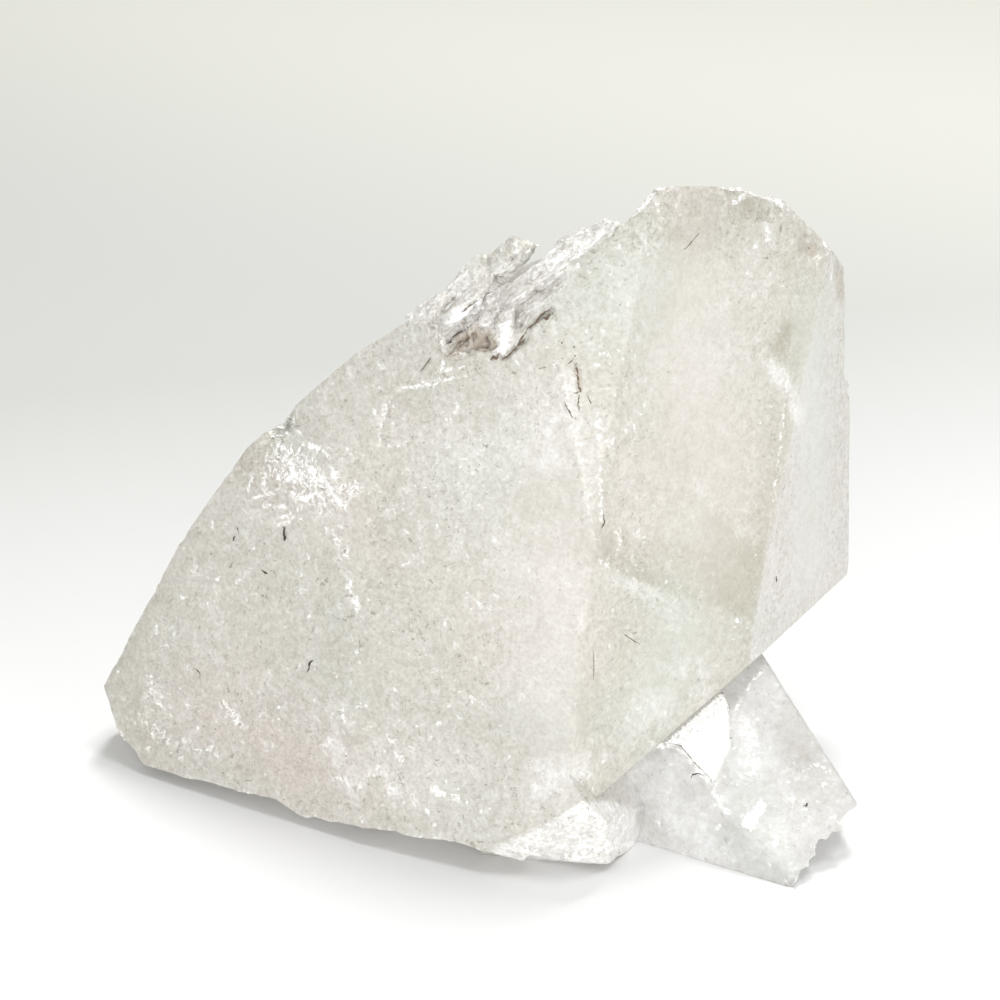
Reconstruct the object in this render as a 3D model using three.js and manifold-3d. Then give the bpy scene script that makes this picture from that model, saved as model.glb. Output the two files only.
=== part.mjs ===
// A cluster of quartz crystals, as one solid: a large milky crystal that leans back, a small
// clear crystal that grew out of its lower right side, a rubbly break along its upper left
// ridge, and the rough breaks where the cluster came off its matrix. Millimetres, +Z up.
// Places are first given from the viewer's side, who looks along +Y with +X to the right.
// At the end the cluster is moved so that it stands on z = 0 about the middle of its own box.
import * as THREE from "three";
import { mergeVertices } from "three/addons/utils/BufferGeometryUtils.js";
import { ConvexGeometry } from "three/addons/geometries/ConvexGeometry.js";
import Module from "manifold-3d";

const wasm = await Module();
wasm.setup();

// ---------------------------------------------------------------- driving dimensions

// Corners that several faces of the large crystal pass through.
const tallEdgeFoot = [9.1, 0.4, 14.0]; // foot of the long front edge
const kneeCorner = [27.2, 15.6, 23.7]; // where the two front faces meet the narrow side face
const sideCorner = [28.0, 15.4, 19.4]; // lowest corner of the narrow side face, in front
const sideFoot = [39.8, 36.0, 18.9]; // the same face's lowest corner to the rear

// Corners of the small crystal.
const smallShoulder = [38.0, 8.0, 5.8]; // end of its right edge, at the break
const smallTip = [30.8, 0.7, 0.0]; // where its broken end touches the ground

// Flat faces: the way each looks (azimuth 0 is the viewer, 90 is the right), how far it
// looks upwards, both in degrees, and one point that it passes through.
const leftFront = { name: "left front", azimuth: -25, rise: 13.5, through: tallEdgeFoot };
const bigFaces = [
  leftFront,
  { name: "left front, outer part", azimuth: -31, rise: 12.3, through: [-16.5, 15.5, 26] },
  { name: "right front", azimuth: 35, rise: 12, through: tallEdgeFoot },
  { name: "upper front", azimuth: 6, rise: 21, through: [10.4, 9.9, 46.5] },
  { name: "right front, lower part", azimuth: 32.5, rise: 7.5, through: kneeCorner },
  { name: "narrow side", azimuth: 58.6, rise: 1.7, through: kneeCorner },
  { name: "overhang", azimuth: 59.2, rise: -40.9, through: sideCorner },
  { name: "far side", azimuth: 97, rise: 3, through: sideFoot },
  { name: "back", azimuth: 157, rise: -6, through: [22, 46, 30] },
  { name: "left end", azimuth: -82, rise: -16, through: [-45.0, 28.3, 8.8] },
];
const shoulderFaces = [
  { name: "left shoulder, low", azimuth: -123.7, rise: 25, through: [-45.2, 28.2, 8.0] },
  { name: "left shoulder", azimuth: -122.5, rise: 32.2, through: [-34.9, 27.0, 27.7] },
  { name: "left shoulder, high", azimuth: -129.5, rise: 43, through: [-27.4, 25.4, 39.1] },
  { name: "upper shoulder", azimuth: -141.8, rise: 48.3, through: [-16.2, 22.0, 51.0] },
  { name: "ridge", azimuth: -150.4, rise: 47.4, through: [-6.6, 19.3, 57.9] },
  { name: "right shoulder", azimuth: 120.8, rise: 44.2, through: [30.5, 28.7, 65.3] },
];
// The crown stands up behind the ridge, as a second growth of the same crystal.
const crownFaces = [
  { name: "crown, left", azimuth: -112, rise: 36, through: [11.4, 12.6, 68.9] },
  { name: "crown", azimuth: -166.4, rise: 61.1, through: [15.6, 19.7, 70.7] },
  { name: "crown, right", azimuth: 153.9, rise: 54.9, through: [25.5, 26.0, 68.5] },
  { name: "right shoulder", azimuth: 120.8, rise: 44.2, through: [30.5, 28.7, 65.3] },
];
const smallFaces = [
  { name: "front", azimuth: -30.2, rise: 12.6, through: [14.9, 9.0, 0] },
  { name: "worn front edge", azimuth: -14.4, rise: 35.6, through: [20.8, 7.95, 8.2] },
  { name: "window", azimuth: 12.2, rise: 52.9, through: smallShoulder },
  { name: "right", azimuth: 110, rise: 21.7, through: smallShoulder },
  { name: "rear", azimuth: 172, rise: -20, through: [24, 26, 4] },
  { name: "left", azimuth: -90, rise: 0, through: [2, 20, 5] },
];

// The frosty wedge at the foot. Its front face also bevels the large crystal's corner.
const wedgeFront = { name: "wedge, front", azimuth: 0, rise: -19, through: [8.4, -0.2, 10.5] };
const wedgeFaces = [
  leftFront,
  wedgeFront,
  { name: "wedge, right", azimuth: 60, rise: -6, through: [14.0, 6.8, 3.0] },
  { name: "wedge, top", azimuth: 78, rise: 36, through: [10.9, 2.6, 8.4] },
  { name: "wedge, underside", azimuth: 8, rise: -76, through: [6.5, 2.9, 0.7] },
  { name: "wedge, underside, left", azimuth: -10, rise: -51, through: [1.5, 3.7, 1.6] },
  { name: "wedge, left", azimuth: -90, rise: 0, through: [-2, 8, 4] },
  { name: "wedge, rear", azimuth: 180, rise: 0, through: [8, 16, 4] },
];

// Rough breaks: a block is knocked off outside each of these planes, and leaves a surface of
// small hollows and blocks. width runs level, height runs up the plane; pitch is the size of
// one hollow and depth is how deep it goes.
const breaks = [
  {
    name: "front underside", azimuth: -15, rise: -73, through: [-11, 9.5, 1.5],
    width: 100, height: 26, step: 2.0, pitch: 7, depth: 1.1, seed: 11,
  },
  {
    name: "left end", azimuth: -76, rise: -24, through: [-44.0, 27.0, 5.5],
    width: 50, height: 18, step: 1.8, pitch: 6, depth: 1.5, seed: 23,
  },
  {
    name: "back, left", azimuth: -152, rise: 4, through: [-14, 47, 20],
    width: 96, height: 100, step: 2.8, pitch: 13, depth: 3.2, seed: 35,
  },
  {
    name: "back underside", azimuth: 168, rise: -46, through: [4, 48.5, 4.5],
    width: 96, height: 34, step: 2.6, pitch: 9, depth: 2.2, seed: 47,
  },
  {
    name: "ridge rubble", azimuth: -42, rise: 33, through: [2.2, 16.6, 59.7], roll: 42,
    width: 21, height: 10.5, step: 0.9, pitch: 3.2, depth: 2.3, seed: 59,
  },
  {
    name: "small crystal's end", azimuth: 72, rise: -34, through: smallTip,
    width: 40, height: 40, step: 1.1, pitch: 2.6, depth: 1.5, seed: 73, only: "small",
  },
];

// Growth ledges: outside both planes of a pair, a thin layer is missing.
const ledges = [
  { layer: { azimuth: 157, rise: -6, through: [22, 45.1, 30] },
    edge: { azimuth: 140, rise: 52, through: [22, 46, 38] } },
  { layer: { azimuth: 157, rise: -6, through: [22, 44.4, 30] },
    edge: { azimuth: 100, rise: 20, through: [26, 46, 24] } },
  { layer: { azimuth: 97, rise: 3, through: [38.9, 36, 18.9] },
    edge: { azimuth: 165, rise: 38, through: [38, 41, 36] } },
  { layer: { azimuth: 97, rise: 3, through: [38.2, 36, 18.9] },
    edge: { azimuth: 160, rise: 5, through: [38, 43.5, 30] } },
];

// Splinters that stand in the rubble, long ones along the ridge: place, half size, how far each
// is turned about the viewer's line of sight.
const rubble = [
  { at: [-6.9, 18.9, 57.8], size: [4.0, 1.8, 1.3], turn: -40, seed: 3 },
  { at: [-3.9, 17.6, 58.4], size: [3.9, 1.5, 1.1], turn: -42, seed: 5 },
  { at: [-2.3, 19.2, 61.0], size: [3.4, 2.0, 1.8], turn: -44, seed: 7 },
  { at: [1.3, 19.0, 63.2], size: [3.0, 2.0, 1.9], turn: -32, seed: 32 },
  { at: [2.2, 17.0, 60.6], size: [3.6, 1.4, 1.1], turn: -36, seed: 11 },
  { at: [4.9, 16.6, 63.5], size: [3.4, 1.6, 1.1], turn: -30, seed: 13 },
  { at: [7.4, 17.5, 65.3], size: [3.8, 1.5, 1.2], turn: -20, seed: 15 },
  { at: [10.4, 17.7, 66.9], size: [2.6, 1.2, 0.9], turn: -24, seed: 17 },
  { at: [0.5, 16.1, 57.3], size: [1.0, 1.3, 2.6], turn: 14, seed: 40 },
];

// The stained hollow below the rubble, where a splinter came away.
const gouges = [
  { at: [-2.6, 15.3, 55.2], size: [3.6, 3.2, 1.7], turn: -12, seed: 21 },
  { at: [-5.0, 16.4, 53.9], size: [1.9, 1.6, 0.8], turn: -40, seed: 25 },
];

// Shell-shaped chips: a ball is scooped out at each place.
const chips = [
  { at: [12.6, 15.2, 71.6], radius: 3.6 },
  { at: [24.9, 25.0, 71.9], radius: 3.2 },
  { at: [30.0, 29.4, 69.3], radius: 3.4 },
  { at: [36.0, 31.8, 64.3], radius: 3.8 },
  { at: [-24.6, 23.0, 44.0], radius: 3.0 },
  { at: [-23.3, 21.3, 41.7], radius: 1.5 },
  { at: [27.5, 12.6, 21.6], radius: 2.4 },
  { at: [38.6, 6.2, 7.6], radius: 2.0 },
];

const reach = 200; // a block this wide, on the ground about x = y = 0, covers the cluster

// ---------------------------------------------------------------- solids

// The way a face looks, as a unit vector.
function outward(azimuth, rise) {
  const a = THREE.MathUtils.degToRad(azimuth);
  const r = THREE.MathUtils.degToRad(rise);
  return new THREE.Vector3(Math.sin(a) * Math.cos(r), -Math.cos(a) * Math.cos(r), Math.sin(r));
}

// Turns a geometry made facing +Z, with +Y up the face, to look the way a face looks.
function face(geometry, { azimuth, rise, through, roll = 0 }) {
  const out = outward(azimuth, rise);
  const level = new THREE.Vector3(0, 0, 1).cross(out).normalize();
  const up = out.clone().cross(level);
  geometry.rotateZ(THREE.MathUtils.degToRad(roll));
  geometry.applyMatrix4(new THREE.Matrix4().makeBasis(level, up, out));
  geometry.translate(...through);
  return geometry;
}

// A closed three.js geometry as a solid that can be joined and cut.
function solidOf(geometry) {
  const bare = geometry.clone();
  bare.deleteAttribute("normal");
  bare.deleteAttribute("uv");
  const merged = mergeVertices(bare, 1e-5);
  return new wasm.Manifold(new wasm.Mesh({
    numProp: 3,
    vertProperties: new Float32Array(merged.attributes.position.array),
    triVerts: new Uint32Array(merged.index.array),
  }));
}

// Everything on the outer side of a flat face, as one block.
function outsideOf(plane) {
  const block = new THREE.BoxGeometry(2 * reach, 2 * reach, reach);
  return solidOf(face(block.translate(0, 0, reach / 2), plane));
}

// A crystal: a block that stands on the ground, with one cut for each of its flat faces.
function crystal(faces) {
  const block = new THREE.BoxGeometry(reach, reach, reach / 2);
  block.translate(0, 0, reach / 4);
  return faces.reduce((solid, plane) => solid.subtract(outsideOf(plane)), solidOf(block));
}

// A repeatable number from 0 to 1 for a cell of a grid.
function chance(i, j, seed) {
  let h = Math.imul(i, 374761393) ^ Math.imul(j, 668265263) ^ Math.imul(seed, 2246822519);
  h = Math.imul(h ^ (h >>> 13), 1274126177);
  h = Math.imul(h ^ (h >>> 16), 2654435761);
  return ((h ^ (h >>> 15)) >>> 0) / 4294967296;
}

// Height of a fracture surface: shallow bowls, one in each cell, that meet in sharp ridges.
function bowls(u, v, pitch, depth, seed) {
  const ci = Math.floor(u / pitch);
  const cj = Math.floor(v / pitch);
  let lowest = Infinity;
  for (let i = ci - 2; i <= ci + 2; i++) {
    for (let j = cj - 2; j <= cj + 2; j++) {
      const du = u / pitch - (i + chance(i, j, seed));
      const dv = v / pitch - (j + chance(i, j, seed + 1));
      const tilt = (chance(i, j, seed + 2) - 0.5) * du + (chance(i, j, seed + 3) - 0.5) * dv;
      const bowl = du * du + dv * dv + 1.2 * tilt + 0.9 * chance(i, j, seed + 4);
      lowest = Math.min(lowest, bowl);
    }
  }
  return depth * (Math.min(lowest, 1.4) - 0.5);
}

// The block that a rough break takes away. Its near side is the fracture surface.
function brokenBlock(plane) {
  const { width, height, step, pitch, depth, seed } = plane;
  const thickness = 40;
  const across = Math.round(width / step);
  const along = Math.round(height / step);
  const block = new THREE.BoxGeometry(width, height, thickness, across, along, 1);
  block.translate(0, 0, thickness / 2);
  const points = block.attributes.position;
  for (let k = 0; k < points.count; k++) {
    if (points.getZ(k) > thickness / 2) continue;
    const u = points.getX(k);
    const v = points.getY(k);
    const inside = Math.abs(u) < width / 2 - 0.01 && Math.abs(v) < height / 2 - 0.01;
    const i = Math.round(u / step);
    const j = Math.round(v / step);
    const shift = inside ? 0.5 * step : 0;
    points.setX(k, u + shift * (chance(i, j, seed + 8) - 0.5));
    points.setY(k, v + shift * (chance(i, j, seed + 9) - 0.5));
    const coarse = bowls(u, v, pitch, depth, seed);
    const fine = bowls(u, v, pitch / 2.6, depth / 3, seed + 20);
    points.setZ(k, coarse + fine);
  }
  return solidOf(face(block, plane));
}

// A splinter: the hull of a few corners scattered over an egg shape.
function splinter({ at, size, turn, seed }) {
  const count = 10;
  const corners = [];
  for (let k = 0; k < count; k++) {
    const height = 1 - (2 * k + 1) / count;
    const around = k * 2.4 + chance(k, 0, seed);
    const ring = Math.sqrt(1 - height * height);
    const swell = 0.75 + 0.55 * chance(k, 1, seed);
    corners.push(new THREE.Vector3(
      size[0] * swell * ring * Math.cos(around),
      size[1] * swell * ring * Math.sin(around),
      size[2] * swell * height,
    ));
  }
  const shape = new ConvexGeometry(corners);
  shape.rotateY(THREE.MathUtils.degToRad(turn));
  shape.translate(...at);
  return solidOf(shape);
}

function chipBall({ at, radius }) {
  return solidOf(new THREE.IcosahedronGeometry(radius, 2).translate(...at));
}

function knockOff(solid, list) {
  return list.reduce((rest, plane) => rest.subtract(brokenBlock(plane)), solid);
}

// ---------------------------------------------------------------- the cluster

const bigBreaks = breaks.filter((plane) => plane.only !== "small");
const smallBreaks = breaks.filter((plane) => plane.only === "small");

const body = crystal([...bigFaces, ...shoulderFaces]);
const crown = crystal([...bigFaces, ...crownFaces]);
const stepped = ledges.reduce(
  (solid, { layer, edge }) => solid.subtract(outsideOf(layer).intersect(outsideOf(edge))),
  body.add(crown),
);
const big = knockOff(stepped, bigBreaks).subtract(outsideOf(wedgeFront));
const small = knockOff(crystal(smallFaces), smallBreaks);
const wedge = crystal(wedgeFaces);

const joined = rubble.reduce((solid, stone) => solid.add(splinter(stone)), big.add(small).add(wedge));
const hollowed = gouges.reduce((solid, gouge) => solid.subtract(splinter(gouge)), joined);
const cluster = chips.reduce((solid, chip) => solid.subtract(chipBall(chip)), hollowed);

// ---------------------------------------------------------------- the part

// The solid as a three.js geometry, standing on z = 0 about the middle of its own box.
function geometryOf(solid) {
  const { vertProperties, triVerts } = solid.getMesh();
  const geometry = new THREE.BufferGeometry();
  geometry.setAttribute("position", new THREE.BufferAttribute(new Float32Array(vertProperties), 3));
  geometry.setIndex(new THREE.BufferAttribute(new Uint32Array(triVerts), 1));
  geometry.computeBoundingBox();
  const { min, max } = geometry.boundingBox;
  return geometry.translate(-(min.x + max.x) / 2, -(min.y + max.y) / 2, -min.z);
}

const milkyQuartz = new THREE.MeshStandardMaterial({
  color: 0xe3e1da,
  roughness: 0.3,
  metalness: 0,
});
const mesh = new THREE.Mesh(geometryOf(cluster), milkyQuartz);
mesh.name = "quartz_cluster";

const group = new THREE.Group();
group.add(mesh);
export default group;
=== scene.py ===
# %% [markdown]
# # A milky quartz cluster
# Two quartz crystals that grew together: a large cloudy one, broken off along its back ridge and
# its base, and a small clearer one that leans out from under it. The outside is the whole story.
# A grown face is flat and satin, an edge is crisp with small chips, and a break is rough like
# sugar. The measured solid already has every flat face in its place, so this lesson keeps those
# faces, cuts them into a fine skin, and gives that skin its relief, its cloudiness and its marks.

# %% Load the measured solid
import math

import bmesh
import bpy
import numpy as np
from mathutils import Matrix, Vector, noise
from mathutils.bvhtree import BVHTree
from mathutils.geometry import delaunay_2d_cdt


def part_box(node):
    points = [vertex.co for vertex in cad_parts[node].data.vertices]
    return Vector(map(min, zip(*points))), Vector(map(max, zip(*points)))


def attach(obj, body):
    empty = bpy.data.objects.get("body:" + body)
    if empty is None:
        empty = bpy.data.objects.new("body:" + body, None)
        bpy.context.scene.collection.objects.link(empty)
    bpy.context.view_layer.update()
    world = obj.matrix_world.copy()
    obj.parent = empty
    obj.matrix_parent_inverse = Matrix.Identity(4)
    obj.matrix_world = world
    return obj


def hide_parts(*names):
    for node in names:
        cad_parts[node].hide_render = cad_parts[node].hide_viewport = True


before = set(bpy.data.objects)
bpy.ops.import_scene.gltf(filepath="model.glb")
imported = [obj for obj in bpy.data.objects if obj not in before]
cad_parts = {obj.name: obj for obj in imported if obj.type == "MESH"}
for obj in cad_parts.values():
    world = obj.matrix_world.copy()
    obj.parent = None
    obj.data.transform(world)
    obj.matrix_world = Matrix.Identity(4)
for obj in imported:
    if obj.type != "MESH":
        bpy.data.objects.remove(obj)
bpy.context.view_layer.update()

MM = 0.001
scene = bpy.context.scene
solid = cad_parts["quartz_cluster"]
low_corner, high_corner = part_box("quartz_cluster")
print("the solid is", [round(side / MM, 1) for side in high_corner - low_corner], "mm")

# %% [markdown]
# ## The camera
# A hand specimen is best seen from a little above, with a longish lens, so that its edges stay
# parallel. The camera looks straight along +Y and down by 25 degrees. Two values set the framing:
# the point that it looks at, and how far away it stands.

# %% Place the camera
LOOK_AT = Vector((2.617, -7.264, 35.6)) * MM
LOOK_DOWN = math.radians(25)
CAMERA_DISTANCE = 295.5 * MM
LENS, SENSOR = 100.0, 36.0

towards_camera = Vector((0, -math.cos(LOOK_DOWN), math.sin(LOOK_DOWN)))
lens_data = bpy.data.cameras.new("camera")
lens_data.lens = LENS
lens_data.sensor_width = SENSOR
lens_data.clip_start = 10 * MM
camera = bpy.data.objects.new("camera", lens_data)
camera.location = LOOK_AT + towards_camera * CAMERA_DISTANCE
camera.rotation_euler = (math.pi / 2 - LOOK_DOWN, 0, 0)
scene.collection.objects.link(camera)
scene.camera = camera
print("camera at", [round(value / MM) for value in camera.location], "mm")

# %% [markdown]
# ## Light and floor
# Pale quartz needs soft light from all round, or its facets turn to mirrors. A pale sky fills the
# scene. A soft box hangs above it, a little to the right and to the front, where the one polished
# facet of the small crystal mirrors it. A wider panel overhead, a little behind the stone, lights
# the floor but not the front faces, so that a soft shadow lies along the foot of the stone. A large
# weak panel low in front fills the faces but not the shadow, and another one low on the right
# reaches under the overhang. A view transform without a film curve keeps the whites white.

# %% Light the scene
def linear(hex_colour):
    """Turns an sRGB colour such as "E6E2D8" into the linear red, green, blue and alpha of a socket."""
    shares = [int(hex_colour[i:i + 2], 16) / 255 for i in (0, 2, 4)]
    return tuple(s / 12.92 if s <= 0.04045 else ((s + 0.055) / 1.055) ** 2.4 for s in shares) + (1.0,)


def add_panel(name, place, size, watts):
    """A square area light that faces the stone."""
    data = bpy.data.lights.new(name, "AREA")
    data.shape = "SQUARE"
    data.size = size
    data.energy = watts
    panel = bpy.data.objects.new(name, data)
    panel.location = place
    panel.rotation_euler = (LOOK_AT - place).to_track_quat("-Z", "Y").to_euler()
    scene.collection.objects.link(panel)
    print(name, "shines with a radiance of", round(watts / (math.pi * size ** 2), 1))


SKY_STRENGTH = 0.64
scene.view_settings.view_transform = "Standard"
sky = bpy.data.worlds.new("pale_sky")
sky.use_nodes = True
sky.node_tree.nodes["Background"].inputs["Color"].default_value = linear("FDFDFC")
sky.node_tree.nodes["Background"].inputs["Strength"].default_value = SKY_STRENGTH
scene.world = sky

add_panel("soft_box", Vector((165, -91, 620)) * MM, 150 * MM, 1.0)
add_panel("overhead_panel", Vector((90, 200, 640)) * MM, 160 * MM, 2.3)
add_panel("front_fill", Vector((-110, -520, 90)) * MM, 300 * MM, 1.42)
add_panel("low_side_fill", Vector((330, -420, 60)) * MM, 250 * MM, 0.85)


# %% [markdown]
# ### A helper for materials
# Every material below is a small tree of nodes. One function adds a node, sets its properties and
# its sockets, and joins what is given as a link, so that a tree reads from top to bottom. Some
# sockets share a label, so they go by number. On a Mix node in0 is the share of the second, in2 and
# in3 are two numbers, and in6 and in7 are two colours.

# %% One function for every node
def add_node(tree, kind, out=None, **values):
    """Adds a node and returns its output with the name out, or else its first output in use. A value
    goes to the node's property of that name, if it has one, or else to a socket. A socket is named
    by its label with _ for a space, or by its number as in0, and a value can be another output."""
    node = tree.nodes.new("ShaderNode" + kind)
    for name, value in values.items():
        if hasattr(node, name):
            setattr(node, name, value)
            continue
        socket = node.inputs[int(name[2:]) if name[2:].isdigit() else name.replace("_", " ")]
        if isinstance(value, bpy.types.NodeSocket):
            tree.links.new(value, socket)
        else:
            socket.default_value = value
    return node.outputs[out] if out else next(socket for socket in node.outputs if socket.enabled)


def new_material(name):
    """An empty material, its tree of nodes and its output node."""
    material = bpy.data.materials.new(name)
    material.use_nodes = True
    material.node_tree.nodes.clear()
    return material, material.node_tree, material.node_tree.nodes.new("ShaderNodeOutputMaterial")


# %% [markdown]
# ## The floor
# A sheet of matt white card, so wide that the camera doesn't see its rim. Its colour carries painted
# shade: it greys behind the stone, sooner on the left, and turns a darker ivory far away, sooner on
# the right, where the light falls off.

# %% Lay the floor
FLOOR_RADIUS = 2500 * MM
FLOOR_SIDES = 96
FLOOR_DROP = 0.03 * MM      # a breath below the stone, so that the two never share a plane

disc = bmesh.new()
bmesh.ops.create_circle(disc, cap_ends=True, segments=FLOOR_SIDES, radius=FLOOR_RADIUS)
floor_mesh = bpy.data.meshes.new("floor")
disc.to_mesh(floor_mesh)
disc.free()
floor = bpy.data.objects.new("floor", floor_mesh)
scene.collection.objects.link(floor)
floor.location.z = -FLOOR_DROP

card, tree, output = new_material("matt_white_card_with_painted_shade")
place = add_node(tree, "TexCoord", out="Object")
CARD_GRAIN = 0.4 * MM     # paper tooth, drawn a little coarser than it is so that it shows
tooth = add_node(tree, "TexNoise", Vector=place, Scale=1 / CARD_GRAIN, Detail=2.0)
# Painted shade: the card greys behind the stone, sooner on the left, and darkens to ivory far away.
PAINTED_SHADE_WAY, PAINTED_FALLOFF_WAY = (-0.28, 1.0, 0.0), (0.50, 1.0, 0.0)
CARD_WHITE, CARD_PAINTED_SHADE_GREY, CARD_PAINTED_FALLOFF_IVORY = linear("E6E6E6"), linear("C2C3BF"), linear("D7D7CE")
behind, beyond = (add_node(tree, "VectorMath", operation="DOT_PRODUCT", in0=place, in1=way)
                  for way in (PAINTED_SHADE_WAY, PAINTED_FALLOFF_WAY))
painted_shade_behind = add_node(tree, "MapRange", Value=behind, From_Min=-8 * MM, From_Max=125 * MM)
far = add_node(tree, "MapRange", interpolation_type="SMOOTHSTEP", Value=beyond, From_Min=120 * MM,
               From_Max=320 * MM)
paper_with_painted_shade = add_node(tree, "Mix", data_type="RGBA", in0=painted_shade_behind, in6=CARD_WHITE, in7=CARD_PAINTED_SHADE_GREY)
paper_with_painted_shade = add_node(tree, "Mix", data_type="RGBA", in0=far, in6=paper_with_painted_shade, in7=CARD_PAINTED_FALLOFF_IVORY)
dent = add_node(tree, "Bump", Strength=0.15, Distance=0.05 * MM, Height=tooth)
shader = add_node(tree, "BsdfPrincipled", Base_Color=paper_with_painted_shade, Roughness=0.85, Normal=dent)
tree.links.new(shader, output.inputs["Surface"])
floor_mesh.materials.append(card)
print("floor disc of", FLOOR_SIDES, "sides")

# %% [markdown]
# ## Finding a place on the stone
# Most marks are easiest to name by where they lie in the camera's view: so many thousandths of the
# picture across, and so many down. A line of sight through that point is followed until it meets
# the solid, so every mark sits on the stone itself and stays there from any side. Each list of
# places below is given as (across, down).

# %% Lines of sight
VIEW_UNIT = SENSOR / LENS / 1000      # how far a thousandth of the picture is, at a distance of 1
right_of_view = Vector((1, 0, 0))
up_of_view = Vector((0, math.sin(LOOK_DOWN), math.cos(LOOK_DOWN)))
SLIDE, SLIDES = 0.01, 40              # of the way to the middle of the view, and how often

flats = bmesh.new()
flats.from_mesh(solid.data)
bmesh.ops.remove_doubles(flats, verts=flats.verts, dist=0.01 * MM)
bmesh.ops.dissolve_limit(flats, angle_limit=math.radians(0.3), verts=flats.verts, edges=flats.edges)
flats.verts.index_update()
flats.edges.index_update()
flats.faces.index_update()
flat_tree = BVHTree.FromBMesh(flats)


def on_stone(across, down, tree=flat_tree):
    """The place where the stone is seen at that point of the view, in millimetres, its normal and
    the number of its face. A point just off the edge slides in until it meets the stone."""
    for _ in range(SLIDES):
        sight = (-towards_camera + right_of_view * (across - 500) * VIEW_UNIT
                 + up_of_view * (500 - down) * VIEW_UNIT).normalized()
        hit, normal, number, _ = tree.ray_cast(camera.location, sight)
        if hit is not None:
            return np.array(hit) / MM, np.array(normal), number
        across += (500 - across) * SLIDE
        down += (500 - down) * SLIDE
    raise ValueError(f"the stone is nowhere near {across}, {down}")


def line_on_stone(*view_places):
    """The same for a list of points, without the normals and numbers."""
    return np.array([on_stone(*view_place)[0] for view_place in view_places])


def distance_to_line(line, places):
    """How far each place is from a line of points, all in millimetres."""
    nearest = np.linalg.norm(places - line[0], axis=1)
    for start, end in zip(line, line[1:]):
        along = end - start
        share = np.clip((places - start) @ along / max(along @ along, 1e-9), 0, 1)
        nearest = np.minimum(nearest, np.linalg.norm(places - start - share[:, None] * along, axis=1))
    return nearest


print("the middle of the view meets the stone at", on_stone(500, 500)[0].round(1), "mm")

# %% [markdown]
# ## A fine skin
# The solid has a few dozen large flat faces and many small ones on its breaks. Relief needs points
# to move, so each flat face is cut into small triangles. Its edges are divided first, and two
# neighbours use the same points, so the skin stays closed and every edge stays as straight as it
# grew. The inside of a face is then filled with a slightly uneven honeycomb of points, and a
# Delaunay triangulation joins them. Where there is more to see, as on the broken ridge, the steps
# are shorter.

# %% How fine the skin is, and where
FRONT_STEP = 0.46     # mm between points, on faces turned towards the camera
BACK_STEP = 0.68      # mm, on the other faces
REST_STEP = 0.95      # mm, on the flat that the stone rests on
FINE_STEP = 0.23      # mm, near the lines of places below
FACES_DOWN = -0.999   # the normal of a face that lies on the floor has a z below this
FINE_LINES = (
    # reach in mm, the places
    (6.0, (430, 352), (470, 318), (520, 288), (570, 255), (618, 224)),      # the broken ridge
    (2.0, (437, 372), (470, 372), (505, 362), (530, 345)),                  # the foot of the break
    (1.6, (574, 345), (579, 390), (575, 415)),                              # the brown crack
    (6.4, (262, 474), (300, 474), (330, 490)),                              # the white net on the left
    (1.8, (333, 521), (348, 556), (355, 606)),                              # the dotted vein
    (1.0, (468, 376), (440, 382), (400, 390), (386, 404), (380, 428), (382, 446), (406, 446)),
    (4.0, (330, 746), (365, 785), (400, 760)),                              # flakes near the base
    (2.5, (152, 672), (154, 735)),
    (2.5, (205, 752), (230, 705)),
    (5.5, (505, 845), (560, 832), (618, 822)),                              # the frosted wedge
    (8.0, (665, 800), (700, 740), (760, 700), (760, 780), (800, 780), (770, 850), (715, 840)),
    (3.0, (768, 362), (800, 410)),                                          # a feathery veil
    (2.0, (655, 190), (690, 187), (745, 197), (770, 205)),                  # chips on the crown
    (2.0, (806, 235), (832, 275)),
)
fine_lines = [(reach, line_on_stone(*view_places)) for reach, *view_places in FINE_LINES]


def lines_near(places):
    """The fine lines that come near a face or an edge, given its corners."""
    middle = places.mean(0, keepdims=True)
    radius = np.linalg.norm(places - middle, axis=1).max()
    return [(reach, line) for reach, line in fine_lines if distance_to_line(line, middle)[0] < reach + radius]


def step_at(places, step, near):
    """The wanted distance between points: the given step, or the fine one near those fine lines."""
    wanted = np.full(len(places), step)
    for reach, line in near:
        wanted[distance_to_line(line, places) < reach] = FINE_STEP
    return wanted


def step_on(face):
    """The wanted distance between points on a flat face, away from the fine lines."""
    if face.normal.z < FACES_DOWN:
        return REST_STEP
    return FRONT_STEP if face.normal.dot(towards_camera) > 0 else BACK_STEP


points = [np.array(v.co) / MM for v in flats.verts]
print(len(flats.faces), "flat faces,", len(fine_lines), "fine lines")


# %% Divide the edges
LOOK_STEP = 0.1       # mm, how often the wanted step is looked up along an edge


def divide(edge):
    """Where an edge is cut, as shares of its length, so that each piece has the wanted length."""
    start, end = (np.array(v.co) / MM for v in edge.verts)
    length = float(np.linalg.norm(end - start))
    looks = np.linspace(0, 1, 2 + int(length / LOOK_STEP))
    middles = (looks[1:] + looks[:-1]) / 2
    step = min(step_on(face) for face in edge.link_faces)
    wanted = step_at(start + middles[:, None] * (end - start), step, lines_near(np.array([start, end])))
    pieces_so_far = np.concatenate([[0], np.cumsum(length * np.diff(looks) / wanted)])
    count = max(1, round(float(pieces_so_far[-1])))
    return np.interp(np.arange(1, count) * pieces_so_far[-1] / count, pieces_so_far, looks)


edge_chains = {}      # the numbers of the points along every edge, ends included
for edge in flats.edges:
    start, end = (np.array(v.co) / MM for v in edge.verts)
    cuts = divide(edge)
    between = range(len(points), len(points) + len(cuts))
    points.extend(start + (end - start) * cut for cut in cuts)
    edge_chains[edge] = [edge.verts[0].index, *between, edge.verts[1].index]
print(len(points), "points on the edges")


# %% Fill the faces
rng = np.random.default_rng(11)
RIM_GAP = 0.55        # of a step, the least distance of a filling point from the rim
UNEVEN = 0.16         # of a step, how far a filling point strays from its place in the honeycomb


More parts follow.
